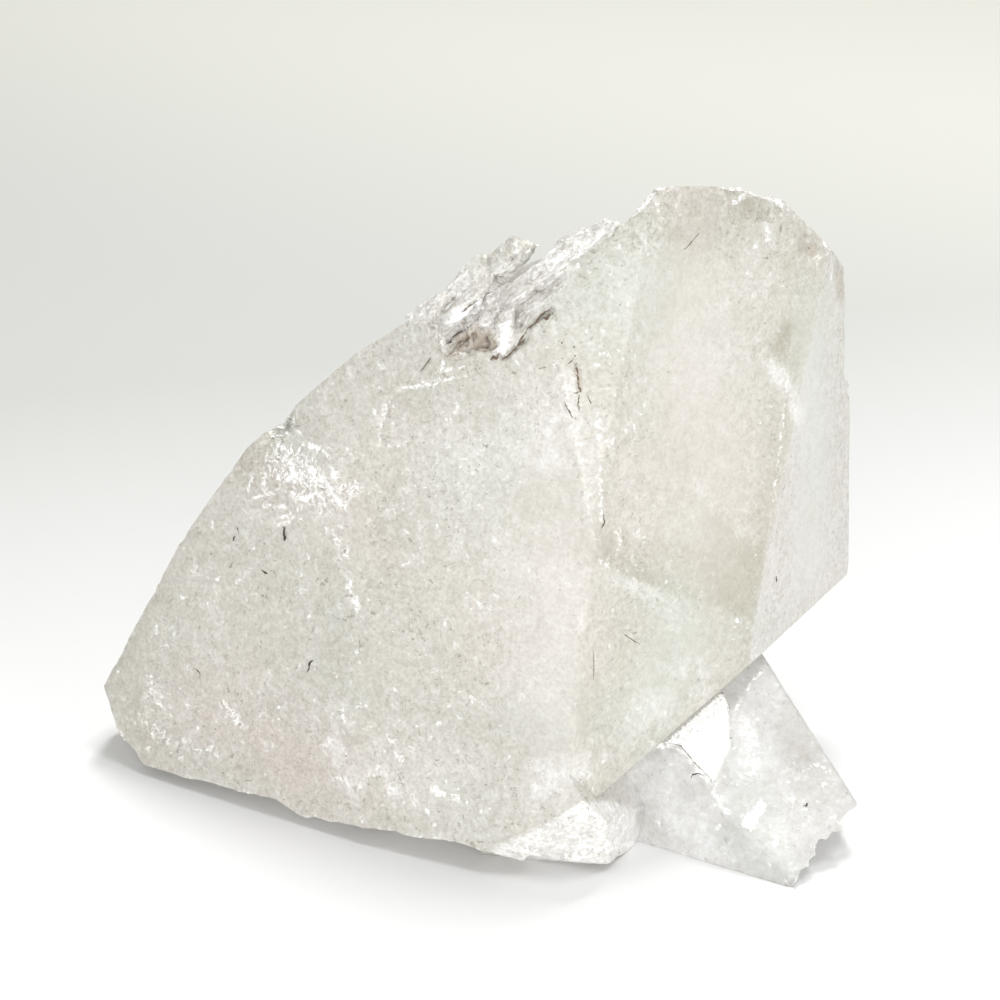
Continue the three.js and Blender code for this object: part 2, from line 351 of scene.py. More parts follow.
def depth_inside(outline, places):
    """How deep places on a flat lie inside a closed outline. Outside it they are below 0."""
    inside = np.zeros(len(places), bool)
    nearest = np.full(len(places), np.inf)
    for start, end in zip(outline, np.roll(outline, -1, 0)):
        along = end - start
        crosses = (start[1] > places[:, 1]) != (end[1] > places[:, 1])
        if along[1]:
            inside ^= crosses & (places[:, 0] < start[0] + (places[:, 1] - start[1]) * along[0] / along[1])
        share = np.clip((places - start) @ along / max(along @ along, 1e-12), 0, 1)
        nearest = np.minimum(nearest, np.linalg.norm(places - start - share[:, None] * along, axis=1))
    return np.where(inside, nearest, -nearest)


def honeycomb(low, high, step):
    """A slightly uneven honeycomb of flat points between two corners."""
    across, up = np.meshgrid(np.arange(low[0], high[0], step),
                             np.arange(low[1], high[1], step * math.sqrt(3) / 2))
    across[1::2] += step / 2
    grid = np.column_stack([across.ravel(), up.ravel()])
    return grid + rng.uniform(-UNEVEN, UNEVEN, grid.shape) * step


def rim_of(face):
    """The numbers of the points round a face, in the face's own direction."""
    rim = []
    for loop in face.loops:
        chain = edge_chains[loop.edge]
        rim += chain[:-1] if chain[0] == loop.vert.index else chain[:0:-1]
    return rim


def fill_face(face):
    """The triangles of one flat face. New points go on the end of the list of points."""
    rim = rim_of(face)
    normal = np.array(face.normal)
    start = np.array(face.verts[0].co) / MM
    side = np.cross(normal, (0, 0, 1) if abs(normal[2]) < 0.9 else (1, 0, 0))
    side /= np.linalg.norm(side)
    plane = np.array([side, np.cross(normal, side)])
    origin = start + normal * float(np.mean([(points[i] - start) @ normal for i in rim]))
    rim_places = np.array([points[i] for i in rim])
    near = lines_near(rim_places)
    flat_rim = (rim_places - origin) @ plane.T
    filling = []
    for step in (step_on(face), FINE_STEP) if near else (step_on(face),):
        grid = honeycomb(flat_rim.min(0), flat_rim.max(0), step)
        grid = grid[step_at(origin + grid @ plane, step_on(face), near) == step]
        filling += list(grid[depth_inside(flat_rim, grid) > step * RIM_GAP])
    numbers = rim + list(range(len(points), len(points) + len(filling)))
    points.extend(origin + place @ plane for place in filling)
    flat_points = [Vector(p) for p in (*flat_rim, *filling)]
    _, _, pieces, origins, _, _ = delaunay_2d_cdt(flat_points, [], [range(len(rim))], 1, 1e-6)
    return [[numbers[origins[corner][0]] for corner in piece] for piece in pieces]


triangles, flat_of_triangle = [], []
for number, face in enumerate(flats.faces):
    pieces = fill_face(face)
    triangles += pieces
    flat_of_triangle += [number] * len(pieces)
points = np.array(points)
triangles = np.array(triangles)
flat_of_triangle = np.array(flat_of_triangle)
print("the skin has", len(points), "points and", len(triangles), "triangles")

# %% [markdown]
# ## Which skin is grown and which is broken
# A quartz face that grew free is large and flat. A break shows as many small facets. The area of
# the flat face that a triangle came from tells the two apart, and so each point gets a number
# from 0, grown, to 1, broken. Passing the numbers to the neighbours a few times softens the border.

# %% Tell grown faces from breaks
GROWN_AREA = 12.0     # mm2: a smaller flat belongs to a break
flat_area = np.array([face.calc_area() / MM ** 2 for face in flats.faces])
rests = np.array([face.normal.z < FACES_DOWN for face in flats.faces])
flat_is_rough = (flat_area < GROWN_AREA) | rests

edges = np.unique(np.sort(np.vstack([triangles[:, [0, 1]], triangles[:, [1, 2]], triangles[:, [2, 0]]]), 1),
                  axis=0)
ends = np.concatenate([edges[:, 0], edges[:, 1]])
others = np.concatenate([edges[:, 1], edges[:, 0]])
neighbours = np.maximum(np.bincount(ends, minlength=len(points)), 1)


def spread(values, times):
    """Passes each point's value to its neighbours, so that a hard border turns soft."""
    for _ in range(times):
        values = (values + np.bincount(ends, weights=values[others], minlength=len(points)) / neighbours) / 2
    return values


def mean_at_points(triangle_values):
    """The mean of what the triangles round a point say."""
    total = np.bincount(triangles.ravel(), weights=np.repeat(triangle_values, 3), minlength=len(points))
    return total / np.maximum(np.bincount(triangles.ravel(), minlength=len(points)), 1)


BORDER = 3            # times that the border between the two is softened
broken = spread(mean_at_points(flat_is_rough[flat_of_triangle].astype(float)), BORDER)
on_floor = mean_at_points(rests[flat_of_triangle].astype(float))
print("broken skin:", round(100 * float(broken.mean())), "% of the points")


# %% [markdown]
# ## Brushes
# Three brushes lay a number on the skin. A stroke follows a line of places and fades to the side,
# a patch fills an outline that the camera sees, and a whole flat face can be given its own number.
# Noise breaks them up, so that no stroke shows its border. Each table below holds one kind of
# mark, stroke by stroke. The quiet parts come first: foggier stone, where small specks don't show.

# %% Make the brushes
FALL_OFF, FINER = 0.8, 2.1      # of soft noise: how fast its octaves weaken, and how much finer each is


def clouds(size, shift, octaves, places=None):
    """Soft noise over the skin from about -1 to 1, with lumps of that many millimetres."""
    offset = Vector((shift, -2 * shift, 3 * shift))
    return np.array([noise.fractal(Vector(p) / size + offset, FALL_OFF, FINER, octaves)
                     for p in (points if places is None else places)])


RAGGED = 1 + 0.6 * clouds(0.55, 5.5, 3)      # makes the border of a stroke wander in and out


def stroke(reach, *view_places):
    """1 on a line through the places, and 0 from about that many millimetres away."""
    distance = distance_to_line(line_on_stone(*view_places), points) * RAGGED
    share = np.clip(1 - distance / reach, 0, 1)
    return share * share * (3 - 2 * share)


# %% Find out what is in sight
def seen_at(places):
    """Where places in millimetres are seen in the view, as (across, down)."""
    away = places * MM - np.array(camera.location)
    depth = away @ -np.array(towards_camera) * VIEW_UNIT
    return np.column_stack([500 + away @ np.array(right_of_view) / depth,
                            500 - away @ np.array(up_of_view) / depth])


HIDDEN_BY = 0.3 * MM      # a point is hidden where the line of sight stops this much short of it
sights = [Vector(p) * MM - camera.location for p in points]
reached = [flat_tree.ray_cast(camera.location, sight.normalized())[3] for sight in sights]
in_sight = np.array([far is None or far > sight.length - HIDDEN_BY for far, sight in zip(reached, sights)])
view_of_points = seen_at(points)
print("the camera sees", round(100 * float(in_sight.mean())), "% of the points")


# %% Make the other brushes
def patch(softness, *outline):
    """1 inside an outline in the view, 0 outside it, with a border that many thousandths wide."""
    depth = depth_inside(np.array(outline, float), view_of_points)
    return np.where(in_sight, np.clip(0.5 + depth / softness, 0, 1), 0.0)


def whole_face(across, down):
    """1 on the flat face that is seen at that place, and 0 on the others."""
    return mean_at_points((flat_of_triangle == on_stone(across, down)[2]).astype(float))


def islands(values, threshold, softness):
    """Turns soft noise into islands: 0 below the threshold and 1 above it."""
    return np.clip((values - threshold) / softness, 0, 1)


def paint(start, strokes):
    """Lays strokes of (reach, strength, places) over each other. The strongest one shows."""
    for reach, strength, *view_places in strokes:
        start = np.maximum(start, strength * stroke(reach, *view_places))
    return start


def build_up(start, strokes):
    """Lays strokes of (reach, amount, places) over each other, so that their amounts add up."""
    for reach, amount, *view_places in strokes:
        start = start + amount * stroke(reach, *view_places)
    return start


# %% Make the soft noises and mark the quiet parts
QUIET_PARTS = (
    # reach in mm, how far specks and scratches are missing, the places
    (13.0, 0.85, (680, 300), (700, 430), (720, 560)),
    (9.0, 0.75, (690, 640), (650, 690)),
    (9.0, 0.6, (555, 480), (550, 640), (560, 740)),
    (9.0, 0.85, (810, 340), (810, 560)),
    (16.0, 0.65, (690, 800), (760, 740), (770, 850)),
)
coarse, medium, fine = clouds(9.0, 1.3, 3), clouds(3.2, 4.1, 3), clouds(1.1, 7.7, 2)
clean = np.zeros(len(points))

# Along the broken ridge all splinters run one way, so its noise is stretched that way.
RIDGE = ((430, 352), (470, 318), (520, 288), (570, 255), (618, 224))
RIDGE_REACH = 7.5     # mm
STRETCH = 0.82        # of the length along the ridge is taken away, so lumps are drawn out 5 times
ridge_line = line_on_stone(*RIDGE)
ridge_way = ridge_line[-1] - ridge_line[0]
ridge_way /= np.linalg.norm(ridge_way)
stretched = points - STRETCH * np.outer(points @ ridge_way, ridge_way)
on_ridge = stroke(RIDGE_REACH, *RIDGE)
speckled = 1 - paint(clean, QUIET_PARTS)
print("quiet points", int((speckled < 0.5).sum()), "points on the ridge", int((on_ridge > 0.5).sum()))

# %% [markdown]
# ## Frost, veils and painted highlights
# Frost is the white powdery look of crushed quartz, along chips, flakes and healed cracks. A veil
# is a thinner white film just under a face. Both are laid down as thin strokes, and the frosted
# wedge at the foot as a patch. Breaks are frosted wherever the noise lets them be. The frost
# strokes also paint white glints on faces of the broken ridge and highlights along crisp edges, and
# some veils paint light into places in shade.

# %% Frost on the grown faces
LEFT_NET = (
    # reach in mm, strength, the places
    (0.40, 1.0, (282, 460), (288, 454), (294, 448)),
    (0.95, 1.0, (289, 460), (294, 477)),
    (0.55, 1.0, (283, 482), (296, 475), (292, 487), (295, 500), (306, 498), (317, 493)),
    (0.90, 1.0, (312, 470), (328, 487), (343, 507)),
    (0.45, 0.9, (310, 446), (326, 451), (332, 467), (336, 478)),
    (0.30, 0.9, (253, 476), (247, 492)),
    (0.30, 0.9, (263, 478), (264, 494)),
    (0.35, 0.9, (254, 498), (274, 493), (281, 485)),
    (0.35, 0.8, (264, 505), (288, 507)),
    (0.35, 0.8, (277, 518), (289, 516), (301, 519)),
    (0.30, 0.8, (278, 525), (290, 521)),
    (0.60, 1.0, (276, 442), (282, 448)),
    (1.20, 0.6, (297, 452), (306, 466)),
    (4.80, 0.46, (276, 468), (300, 478), (325, 492)),
    (1.40, 0.5, (342, 489), (356, 489)),
)
VEIN_AND_FLAKES = (
    (0.30, 0.55, (333, 530), (334, 538), (341, 541), (348, 548), (347, 556)),
    (0.60, 0.6, (340, 554), (347, 559)),
    (0.45, 0.5, (350, 574), (351, 591)),
    (0.75, 0.6, (354, 600), (357, 608)),
    (0.30, 0.7, (326, 527), (327, 534)),
    (0.50, 0.2, (357, 606), (353, 650), (350, 700)),
    (0.60, 0.34, (322, 747), (333, 741), (342, 746), (346, 756)),
    (0.90, 0.32, (331, 779), (340, 777), (347, 782)),
    (0.70, 0.36, (358, 793), (362, 783), (370, 777), (379, 773)),
    (1.20, 0.36, (385, 793), (392, 788)),
    (0.55, 0.5, (341, 713), (344, 720)),
    (0.45, 0.5, (361, 699), (359, 706)),
    (0.30, 0.8, (360, 646), (356, 653)),
    (0.70, 0.36, (389, 737), (396, 750), (402, 761)),
    (0.70, 0.8, (207, 753), (215, 747)),
    (0.40, 0.9, (154, 728), (153, 739)),
    (0.35, 0.8, (151, 672), (152, 688)),
    (0.50, 0.7, (157, 702), (164, 710)),
    (0.90, 0.6, (434, 790), (448, 796), (462, 799)),
    (1.80, 0.44, (226, 705), (240, 725)),
    (5.50, 0.18, (345, 715), (375, 765), (400, 780)),
    (3.20, 0.26, (150, 690), (160, 740), (230, 760)),
)
print(len(LEFT_NET) + len(VEIN_AND_FLAKES), "strokes of frost on the grown faces")

# %% Frost, painted glints and painted highlights on the ridge and the edges
# Frost on the ridge, with painted glints: the brightest white strokes stand for light glinting off the faces
# of the break.
RIDGE_FROST_AND_GLINTS = (
    (1.60, 1.3, (450, 323), (470, 306)),
    (0.80, 1.3, (452, 325), (468, 313), (478, 300)),
    (0.60, 1.0, (476, 318), (480, 308)),
    (1.00, 1.3, (505, 316), (506, 330), (503, 349)),
    (0.35, 0.9, (443, 352), (444, 364), (437, 372)),
    (0.25, 0.9, (437, 372), (463, 367)),
    (0.25, 0.8, (431, 383), (451, 378), (468, 376)),
    (0.60, 1.2, (546, 254), (553, 249)),
    (0.80, 1.2, (555, 268), (562, 254)),
    (0.35, 0.9, (557, 274), (570, 268), (579, 265)),
    (0.70, 1.0, (590, 240), (600, 233), (608, 229)),
    (0.60, 1.1, (499, 277), (512, 269)),
    (0.40, 0.8, (462, 289), (474, 281)),
    (0.35, 0.8, (518, 268), (528, 262)),
    (0.30, 0.8, (500, 292), (518, 285)),
    (0.30, 0.7, (510, 381)),
    (0.30, 0.6, (440, 382), (400, 390), (386, 404), (380, 428), (382, 446), (406, 446)),
)
# Chips, and painted highlights: thin white lines along the crisp edges between the large faces, and bright
# rims on the crown.
EDGE_CHIPS_AND_HIGHLIGHTS = (
    (0.50, 1.0, (642, 199), (650, 191)),
    (0.45, 1.0, (734, 202), (744, 197), (754, 194)),
    (0.35, 0.9, (768, 198), (780, 203), (790, 209)),
    (0.60, 0.8, (768, 226), (766, 241)),
    (0.35, 0.8, (824, 243), (830, 248)),
    (0.45, 0.9, (833, 266), (831, 279)),
    (0.50, 0.8, (737, 619), (739, 622)),
    (0.35, 0.7, (749, 627), (752, 630)),
    (0.45, 0.7, (772, 546), (773, 550)),
    (0.35, 0.7, (620, 528), (620, 551)),
    (0.30, 0.6, (648, 255), (650, 259)),
    (0.35, 0.6, (614, 311), (617, 316)),
    (0.30, 0.6, (592, 522), (596, 545), (598, 560), (609, 566)),
    (0.30, 0.6, (598, 420), (600, 480), (601, 520)),
    (0.30, 0.5, (789, 370), (776, 480), (757, 620)),
)
print(len(RIDGE_FROST_AND_GLINTS) + len(EDGE_CHIPS_AND_HIGHLIGHTS), "strokes of frost on the ridge and the edges")

# %% Frost on the small crystal and the wedge, and all of it together
SMALL_CRYSTAL_FROST = (
    (0.55, 0.75, (657, 747), (671, 745), (684, 752), (697, 768), (712, 788), (727, 812)),
    (0.25, 1.0, (761, 672), (752, 682), (742, 699), (736, 710)),
    (0.45, 0.8, (803, 770), (818, 764), (834, 776)),
    (2.60, 0.24, (742, 722), (752, 745), (745, 775)),
    (5.00, 0.14, (790, 790), (770, 830), (730, 790)),
    (2.50, 0.26, (795, 775), (825, 785)),
    (0.30, 0.8, (775, 838), (776, 845)),
    (0.50, 0.7, (716, 786), (724, 778)),
)
WEDGE = ((488, 850), (540, 826), (559, 817), (581, 802), (607, 799), (626, 806), (640, 824), (640, 850),
         (589, 872), (540, 866), (500, 862))
WEDGE_EDGE = (0.50, 1.0, (572, 846), (605, 850), (634, 846))
DULL_LUMP = (2.6, (478, 262), (505, 246), (535, 250))      # beige and hardly frosted
frost_and_highlights = clean
for strokes in (LEFT_NET, VEIN_AND_FLAKES, RIDGE_FROST_AND_GLINTS, EDGE_CHIPS_AND_HIGHLIGHTS, SMALL_CRYSTAL_FROST):
    frost_and_highlights = paint(frost_and_highlights, strokes)
# Each mix below is a level of frost, and how much the soft noises stir it.
frost_and_highlights = np.maximum(frost_and_highlights, (0.30 + 0.40 * fine) * patch(5, *WEDGE))
frost_and_highlights = paint(frost_and_highlights, (WEDGE_EDGE,))
frost_and_highlights = np.clip(frost_and_highlights * (0.80 + 0.45 * medium + 0.35 * fine), 0, 1)
crushed = np.clip(0.34 + 0.4 * medium + 0.3 * fine, 0, 1)
streaks = 0.20 + 0.50 * islands(clouds(0.6, 81.0, 3, stretched), 0.0, 0.5)
frost_and_highlights = np.maximum(frost_and_highlights, broken * ((1 - on_ridge) * crushed + on_ridge * streaks))
frost_and_highlights = frost_and_highlights * (1 - 0.8 * stroke(*DULL_LUMP))
print("frost_and_highlight_share", round(100 * float(frost_and_highlights.mean())), "%")

# %% Lay down the veils and painted light
VEILS_AND_PAINTED_LIGHT = (
    (2.4, 0.75, (768, 362), (786, 388), (800, 416)),
    (0.8, 0.6, (772, 217), (772, 250)),
    (2.5, 0.5, (700, 490), (740, 525), (774, 558)),
    (0.5, 0.6, (755, 655), (700, 669), (656, 680)),
    (7.0, 0.25, (560, 520), (560, 620), (550, 720)),
    (5.0, 0.4, (420, 440), (480, 430)),
    (7.0, 0.5, (640, 720), (690, 690)),
    (6.0, 0.5, (540, 450), (560, 400)),
    (5.0, 0.6, (540, 780), (590, 760)),
    # Painted light: full white veils lift the shade under the overhang and along the foot of the small
    # crystal, and paint a bright zone beside its polished facet.
    (6.0, 1.0, (640, 780), (665, 785), (690, 815), (700, 850)),
    (3.4, 0.6, (745, 725), (755, 760)),
    (3.5, 0.35, (730, 850), (760, 862), (800, 830)),
    (2.8, 0.6, (335, 750), (350, 785), (375, 765), (395, 790)),
    (1.0, 0.5, (340, 553), (354, 600)),
)
veil_and_painted_light = np.clip(paint(clean, VEILS_AND_PAINTED_LIGHT) * (1.0 + 0.5 * medium + 0.3 * fine) + 0.16 * coarse, 0, 1)
veil_and_painted_light = np.maximum(veil_and_painted_light, 0.88 * patch(5, *WEDGE))
# Painted light over the broken ridge, against the shade of its own splinters.
veil_and_painted_light = np.maximum(veil_and_painted_light, 0.60 * broken * on_ridge)
print("veil_and_light_share", round(100 * float(veil_and_painted_light.mean())), "%")

# %% [markdown]
# ## Tone and tint
# Thick milky stone looks a little darker and more olive, thin stone paler and more ivory. Each face
# also sends its light another way, so each large face gets its own painted shade, and wide soft
# strokes darken or lighten parts of it, partly for the stone's own cloudiness and partly as painted
# shade and light. Narrow bands along some edges paint shade on one side and a highlight on the
# other. A faint tint runs from green to pink, as the real one does where traces of clay and iron lie
# under the surface.

# %% Lay down the tone
FACE_PAINTED_SHADES = (
    # painted shade from -1, dark, to 1, pale, for how the face turns to the light, and a place on the face
    (-0.04, (290, 600)),
    (0.0, (180, 640)),
    (-0.06, (690, 430)),
    (0.02, (590, 330)),
    (-0.60, (680, 640)),
    (0.62, (810, 480)),
)
# Partly the stone's own cloudiness and partly painted shade and light, where part of a face lies darker or
# paler in the light.
TONE_AND_SHADE_STROKES = (
    (15.0, -0.16, (290, 600), (320, 680), (420, 620)),
    (7.0, -0.45, (690, 230), (720, 215)),
    (6.0, -0.40, (806, 285), (797, 320)),
    (1.3, -1.00, (778, 350), (782, 340), (787, 328)),
    (1.6, -0.80, (752, 206), (764, 212)),
    (1.2, -0.70, (788, 268)),
    (1.0, -0.50, (306, 478), (316, 482)),
    (1.2, -0.40, (676, 233)),
    (4.0, -0.30, (606, 400), (617, 370), (665, 329), (680, 275)),
    (6.0, -0.35, (135, 650), (125, 700), (150, 745)),
    (7.0, 0.15, (350, 400), (330, 430)),
    (7.0, 0.10, (190, 690)),
    (16.0, 0.20, (550, 480), (550, 640), (560, 760)),
    (9.0, 0.25, (640, 720), (680, 650)),
    (8.0, 0.35, (430, 480), (520, 450)),
    (8.0, 0.40, (560, 770), (440, 770)),
    (9.0, -0.05, (640, 470), (700, 430)),
    (8.0, -0.45, (530, 450), (545, 500)),
    (7.0, 0.30, (690, 320), (715, 350)),
    (6.0, 0.10, (640, 265)),
    (2.4, -0.5, (492, 258), (520, 246)),
    (8.0, -0.45, (500, 765), (565, 770)),
)
# Mostly painted shade and highlights along the edges between faces, each kept to one face.
SHADE_AND_HIGHLIGHT_WITHIN_A_FACE = (
    # reach in mm, painted shade below 0 and highlight above it, a place on the face, and the places of the
    # stroke
    (9.0, -0.9, (690, 430), (745, 600), (725, 540)),
    (5.0, -0.5, (690, 430), (612, 548), (690, 590), (745, 615)),
    (3.0, -0.6, (690, 430), (790, 360), (770, 500), (750, 610)),
    (2.0, -0.4, (690, 430), (601, 400), (602, 480), (604, 555)),
    (1.8, -0.6, (690, 430), (608, 558), (650, 582), (700, 610), (742, 626)),
    (1.8, 0.3, (680, 640), (608, 568), (650, 592), (680, 609)),
    (4.0, 0.65, (680, 640), (612, 575), (650, 593)),
    (4.0, 0.5, (810, 480), (792, 360), (778, 500), (760, 620)),
    (4.0, 0.4, (290, 600), (596, 400), (597, 480), (598, 700)),
)
# Soft noise stirs the tone, more so on the sides that have no strokes, and the broken ridge is
# painted pale, as painted light against the shade of its own splinters.
tone_and_painted_light = (0.26 + 0.14 * (1 - in_sight)) * coarse + 0.16 * medium + 0.08 * fine + 0.75 * broken * on_ridge
for amount, view_place in FACE_PAINTED_SHADES:
    tone_and_painted_light = tone_and_painted_light + amount * whole_face(*view_place)
tone_and_painted_light = build_up(tone_and_painted_light, TONE_AND_SHADE_STROKES)
for reach, amount, view_place, *view_places in SHADE_AND_HIGHLIGHT_WITHIN_A_FACE:
    tone_and_painted_light = tone_and_painted_light + amount * whole_face(*view_place) * stroke(reach, *view_places)
print("darker points", int((tone_and_painted_light < -0.2).sum()), "paler points", int((tone_and_painted_light > 0.2).sum()))

# %% Lay down the tint
TINT_STROKES = (
    # below 0 is greener, above 0 is pinker
    (12.0, 0.6, (540, 640), (560, 560)),
    (12.0, 0.7, (700, 430), (730, 520)),
    (6.0, 0.8, (690, 225)),
    (8.0, 0.4, (640, 470), (640, 535)),
    (9.0, 0.7, (200, 720), (320, 760)),
    (4.0, 0.6, (540, 280), (480, 330)),
    (9.0, -0.8, (600, 300), (640, 260)),
    (9.0, -0.9, (680, 640), (640, 700)),
    (5.0, -0.8, (620, 578), (670, 602)),
    (6.0, -0.7, (810, 300), (815, 480)),
    (6.0, -0.7, (770, 850), (740, 780)),
)
tint = build_up(0.5 * clouds(11.0, 17.3, 2), TINT_STROKES)
tint = np.clip(0.5 + 0.5 * tint, 0, 1)
print("greener points", int((tint < 0.4).sum()), "pinker points", int((tint > 0.6).sum()))

# %% [markdown]
# ## The small crystal
# The small crystal is much clearer than the large one. Its part of the skin is what lies right of
# the seam and below the overhang. One facet of it is smooth enough to mirror the soft box, and so
# is a little kite-shaped one lower down. The rest is frosted by a fine etching. Its tone is partly
# painted light: the parts in the overhang's shade and along its foot are painted paler, and so is a
# bright zone beside the mirroring facet.

# %% Lay down the clear crystal and its polish
OVERHANG_CORNER = np.array([30.6, -11.9, 19.4])     # mm, a corner of the large crystal's overhang
OVERHANG_WAY = np.array([0.649, -0.387, -0.655])    # the way the overhang faces
SEAM_ACROSS = 17.2                                  # mm, where the small crystal meets the wedge
WINDOW = ((664, 744), (722, 692), (728, 703), (729, 746), (722, 763), (713, 782), (697, 764), (682, 746))
KITE = ((741, 823), (761, 798), (767, 806), (761, 815), (751, 831))
small_crystal = (((points - OVERHANG_CORNER) @ OVERHANG_WAY > 0.12)
                 & (points[:, 0] > SEAM_ACROSS)).astype(float)
polish = small_crystal * np.maximum(patch(1.5, *WINDOW), patch(1.5, *KITE))
# Painted highlight: the polished facets also get full frost, so their colour turns white where they mirror
# the soft box.
frost_and_highlights = np.maximum(frost_and_highlights * (1 - polish), polish)
clear = spread(small_crystal, 2) * (1 - 0.75 * frost_and_highlights)

# Partly painted light: these strokes lift the parts shaded by the overhang and along the foot, and paint a
# bright zone beside the polished facet.
SMALL_CRYSTAL_TONE_AND_PAINTED_LIGHT = (
    (4.0, 0.7, (745, 725), (752, 770)),
    (3.2, -1.2, (792, 735), (800, 752)),
    (1.6, -0.25, (712, 815), (716, 835)),
    (9.0, 1.4, (650, 810), (700, 850)),
    (4.0, 0.9, (735, 860), (770, 850), (800, 830)),
    (4.0, 0.7, (765, 690), (775, 740)),
    (4.0, -0.5, (815, 775), (825, 790)),
    (4.0, 0.8, (655, 785), (670, 800)),
)
tone_and_painted_light = build_up(tone_and_painted_light, SMALL_CRYSTAL_TONE_AND_PAINTED_LIGHT)
tone_and_painted_light = np.clip(0.66 + 0.5 * tone_and_painted_light, 0, 1)
print("clear points", int((clear > 0.5).sum()), "polished points", int((polish > 0.5).sum()))

# %% [markdown]
# ## Dirt and painted shade in the breaks
# Iron rust has stained the broken hollow on the ridge, and thin washes of it darken a few places.
# Clay lies in that hollow, and the same brown darkens the deepest cracks and the hollows between
# the splinters, partly as clay and partly as painted shade. All are laid on the skin here, and the
# sharpest cracks get threads of clay and painted shade further down.

# %% Lay down the rust
RUST_STROKES = (
    (3.4, 0.21, (248, 462), (260, 466), (272, 484)),
    (0.7, 0.7, (450, 356), (462, 340), (472, 333)),
    (0.5, 0.5, (577, 366), (580, 388)),
    (5.5, 0.09, (150, 600), (128, 660), (150, 730), (200, 755)),
    (4.2, 0.15, (785, 722), (795, 738), (806, 756)),
    (3.0, 0.07, (800, 775), (825, 785)),
    (9.0, 0.04, (250, 770), (350, 790)),
    (1.5, 0.14, (778, 352), (782, 340), (788, 326)),
    (1.5, 0.06, (748, 206), (766, 212)),
    (1.5, 0.34, (802, 245), (812, 250)),
    (1.5, 0.34, (838, 266), (841, 296)),
    (1.0, 0.10, (674, 232), (678, 234)),
)
STAINED_HOLLOW = (
    (2.2, 1.0, (455, 350), (463, 346)),
    (2.2, 1.0, (463, 346), (472, 344), (480, 342), (488, 341)),
)
MOST_STAIN = 0.58     # the stain lets some stone show through
stain = np.clip(paint(clean, STAINED_HOLLOW) * (1 + 0.6 * fine), 0, MOST_STAIN) * islands(broken, 0.1, 0.4)
rust = np.clip(paint(clean, RUST_STROKES) * (1 + 0.7 * fine + 0.4 * medium), 0, 1)
rust = np.maximum(rust, stain)
print("rusty points", int((rust > 0.3).sum()))

# %% Lay down the clay and painted shade
# Partly clay in the stained hollow, partly painted shade down the cracks.
CLAY_AND_SHADE_STROKES = (
    (0.30, 0.9, (448, 345), (458, 333), (466, 329)),
    (0.35, 0.9, (450, 354), (460, 345), (472, 334)),
    (0.40, 0.9, (487, 338), (490, 343)),
    (0.30, 0.8, (461, 350), (470, 341), (476, 335)),
    (0.30, 0.7, (466, 353), (480, 346), (490, 345)),
    (0.35, 0.8, (491, 359), (500, 355)),
    (0.35, 0.8, (502, 359), (508, 357), (515, 348)),
    (0.35, 0.9, (519, 344), (523, 340)),
    (0.30, 0.8, (527, 328), (538, 321), (540, 314), (551, 309)),
    (0.25, 0.8, (540, 319), (547, 317), (553, 313)),
    (0.35, 0.7, (512, 260), (516, 258)),
    (0.45, 0.4, (580, 236), (586, 234)),
    (0.30, 0.7, (561, 239), (566, 237)),
    (0.25, 0.7, (494, 275), (497, 276)),
    (0.25, 0.6, (474, 282)),
    (0.30, 0.4, (430, 360), (421, 371)),
    (0.25, 0.7, (463, 312), (471, 305), (479, 300)),
    (0.50, 0.35, (530, 295), (516, 304), (500, 306)),
    (0.40, 0.35, (540, 275), (525, 285), (512, 296)),
)
clay_and_painted_shade = np.clip(paint(clean, CLAY_AND_SHADE_STROKES) * (1 + 0.4 * fine), 0, 1)
# Painted shade: the hollows between the ridge's splinters are browned with the clay colour.
painted_shade_between_splinters = islands(clouds(0.7, 71.0, 3, stretched), 0.22, 0.25)
clay_and_painted_shade = np.maximum(clay_and_painted_shade, 0.22 * broken * on_ridge * painted_shade_between_splinters)
print("points with clay", int((clay_and_painted_shade > 0.3).sum()))

# %% [markdown]
# ## Relief
# Now the points move, each along its own normal and by 1.2 mm at most. Grown faces
# swell and sink a little. Breaks are hackly. The blocks of the ridge are rounded first, and its
# splinters all run one way, so the noise there is stretched along the ridge. Long crisp edges are
# worn and chipped, frosted places are gritty, and the cracks are cut in. The foot is lifted a
# little at the left, where the real one stands clear of the table and throws a line of shadow.

# %% Round the ridge and wear the edges
def point_normals():
    """The mean of the normals round each point, large triangles first."""
    across = np.cross(points[triangles[:, 1]] - points[triangles[:, 0]],
                      points[triangles[:, 2]] - points[triangles[:, 0]])
    total = np.column_stack([np.bincount(triangles.ravel(), weights=np.repeat(across[:, axis], 3),
                                         minlength=len(points)) for axis in range(3)])
    return total / np.maximum(np.linalg.norm(total, axis=1), 1e-12)[:, None]


SMOOTHING = 24        # times that the ridge is smoothed, which rounds its blocks by up to 0.6 mm
smoothed = np.column_stack([spread(points[:, axis], SMOOTHING) for axis in range(3)])
points += (smoothed - points) * (broken * on_ridge)[:, None]
normals = point_normals()
crisp = np.zeros(len(points))
WORN_LENGTH = 4 * MM                  # shorter edges belong to breaks
LEAST_BEND, FULL_BEND = math.radians(12), math.radians(70)
for edge, chain in edge_chains.items():
    bend = edge.calc_face_angle(0.0)
    if edge.calc_length() > WORN_LENGTH and bend > LEAST_BEND:
        crisp[chain] = np.maximum(crisp[chain], min(1.0, bend / FULL_BEND))
EDGE_WEAR, CHIP_DEPTH = 0.06, 0.36               # mm
chips = islands(clouds(2.3, 12.5, 3), 0.18, 0.5)
wear = crisp * EDGE_WEAR + spread(crisp, 2) * chips * CHIP_DEPTH
print("the edges are worn by up to", round(float(wear.max()), 2), "mm")

